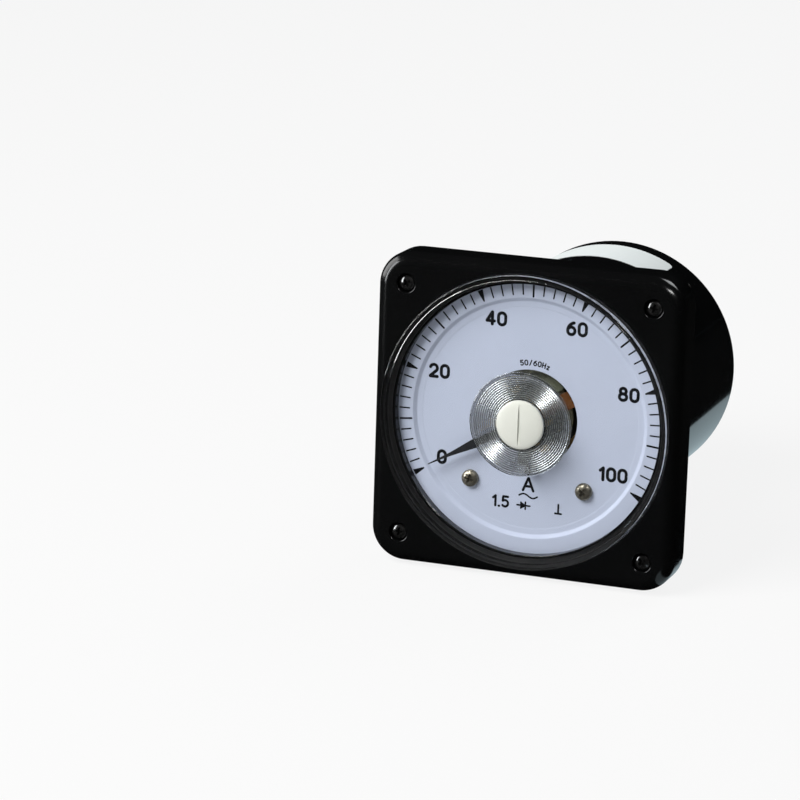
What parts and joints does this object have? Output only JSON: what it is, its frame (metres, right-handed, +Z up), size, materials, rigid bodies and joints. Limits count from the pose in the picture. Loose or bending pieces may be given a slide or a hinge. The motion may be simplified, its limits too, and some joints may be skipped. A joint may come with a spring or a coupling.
{
  "type": "analogue panel meter",
  "caption": "Square flush panel meter with a 240 degree dial, clear window with centre zero adjuster, swinging pointer, round rear case and screw terminals.",
  "frame": {"origin": "on the dial's axis, in the plane of the flange's back face, which lies on the panel", "axes": "the dial faces -Y and the round case runs back along +Y, +X is to the right seen from the front, +Z is up"},
  "size_m": [0.11, 0.1364, 0.11],
  "materials": {
    "black_moulding": "polished phenolic moulding",
    "clear_window": "polished clear acrylic",
    "gasket_rubber": "matt",
    "blackened_steel": "black oxide, satin",
    "plated_steel": "zinc plated",
    "bronzed_steel": "bronzed, polished",
    "dial_enamel": "smooth pale blue-white enamel",
    "black_ink": "printed ink, satin",
    "pointer_black": "black enamel, satin",
    "brass": "turned, satin",
    "spring_bronze": "satin",
    "aluminium": "satin",
    "enamelled_copper": "gloss lacquer over copper wire",
    "strap_copper": "satin copper",
    "bridge_metal": "satin",
    "soft_iron": "satin",
    "cast_magnet": "rough cast",
    "olive_plate": "olive passivated, satin",
    "cream_plastic": "polished cream moulding",
    "label_paper": "matt white film",
    "laminated_iron": "varnished laminations",
    "board_laminate": "paper laminate",
    "diode_black": "moulded"
  },
  "bodies": {
    "case": {"bezel_frame": "black_moulding", "window": "clear_window", "window_gasket": "gasket_rubber", "case_body": "black_moulding", "case_label": "label_paper", "cover_screws": "blackened_steel", "mounting_studs": "plated_steel", "dial_plate": "dial_enamel", "dial_scale": "black_ink", "dial_posts": "brass", "dial_screws": "bronzed_steel", "rear_hairspring": "spring_bronze", "rear_spring_anchor": "spring_bronze", "front_bridge": "bridge_metal", "rear_bridge": "bridge_metal", "bridge_posts": "brass", "bridge_screws": "plated_steel", "front_jewel_screw": "brass", "rear_jewel_screw": "brass", "ring_core": "soft_iron", "pole_shoe": "soft_iron", "magnet": "cast_magnet", "yoke": "soft_iron", "clamp_plate": "olive_plate", "clamp_screws": "plated_steel", "chassis_plate": "bridge_metal", "chassis_screws": "plated_steel", "terminal_studs": "brass", "terminal_washers": "plated_steel", "terminal_nuts": "brass", "terminal_straps": "strap_copper", "transformer_core": "laminated_iron", "transformer_coil": "enamelled_copper", "transformer_screws": "plated_steel", "rectifier_board": "board_laminate", "board_spacers": "brass", "rectifier_diodes": "diode_black"},
    "moving_element": {"pointer": "pointer_black", "balance_weights": "brass", "pointer_staff": "plated_steel", "coil_former": "aluminium", "moving_coil": "enamelled_copper"},
    "adjuster": {"zero_adjuster": "cream_plastic", "adjuster_crank": "bridge_metal"},
    "spring_lever": {"zero_lever": "spring_bronze", "front_hairspring": "spring_bronze"}
  },
  "joints": [
    {"name": "pointer_swing", "type": "hinge", "parent": "case", "child": "moving_element", "pos_m": [0, 0, 0], "axis": [0, 1, 0], "range_deg": [-4, 242], "stiffness_Nm_per_rad": 0.000004},
    {"name": "zero_adjuster_turn", "type": "hinge", "parent": "case", "child": "adjuster", "pos_m": [0, 0, 0], "axis": [0, 1, 0], "range_deg": [-15, 15]},
    {"name": "zero_lever_turn", "type": "hinge", "parent": "case", "child": "spring_lever", "pos_m": [0, 0, 0], "axis": [0, 1, 0], "range_deg": [-15, 15]}
  ],
  "couplings": [
    {"joint": "zero_lever_turn", "follows": "zero_adjuster_turn", "ratio": 1}
  ]
}
